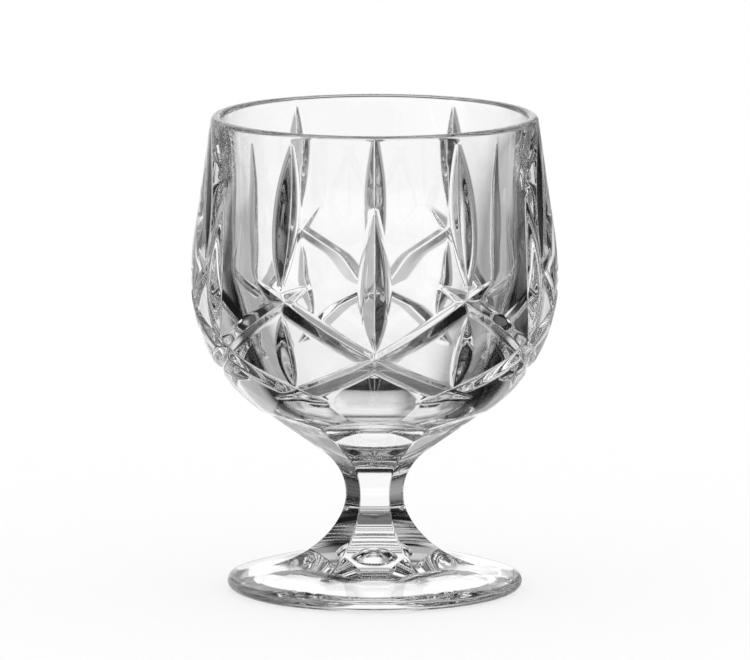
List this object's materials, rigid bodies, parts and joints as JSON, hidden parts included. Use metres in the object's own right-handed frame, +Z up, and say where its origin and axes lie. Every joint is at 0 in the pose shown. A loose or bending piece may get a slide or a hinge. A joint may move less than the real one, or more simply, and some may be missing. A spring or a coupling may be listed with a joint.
{
  "type": "brandy snifter",
  "caption": "Clear cut-glass brandy snifter with a wide round bowl cut with lens and crossing mitre grooves, a short faceted stem and a round faceted foot.",
  "frame": {"origin": "centre of the foot on the table", "axes": "+Z up the axis of the glass, -Y towards the viewer of the picture"},
  "size_m": [0.0846, 0.0844, 0.11],
  "materials": {
    "bowl_glass": "polished clear cut glass",
    "stem_glass": "polished clear glass",
    "foot_glass": "polished clear glass"
  },
  "bodies": {
    "root": {"bowl": "bowl_glass", "stem": "stem_glass", "foot": "foot_glass"}
  },
  "joints": []
}
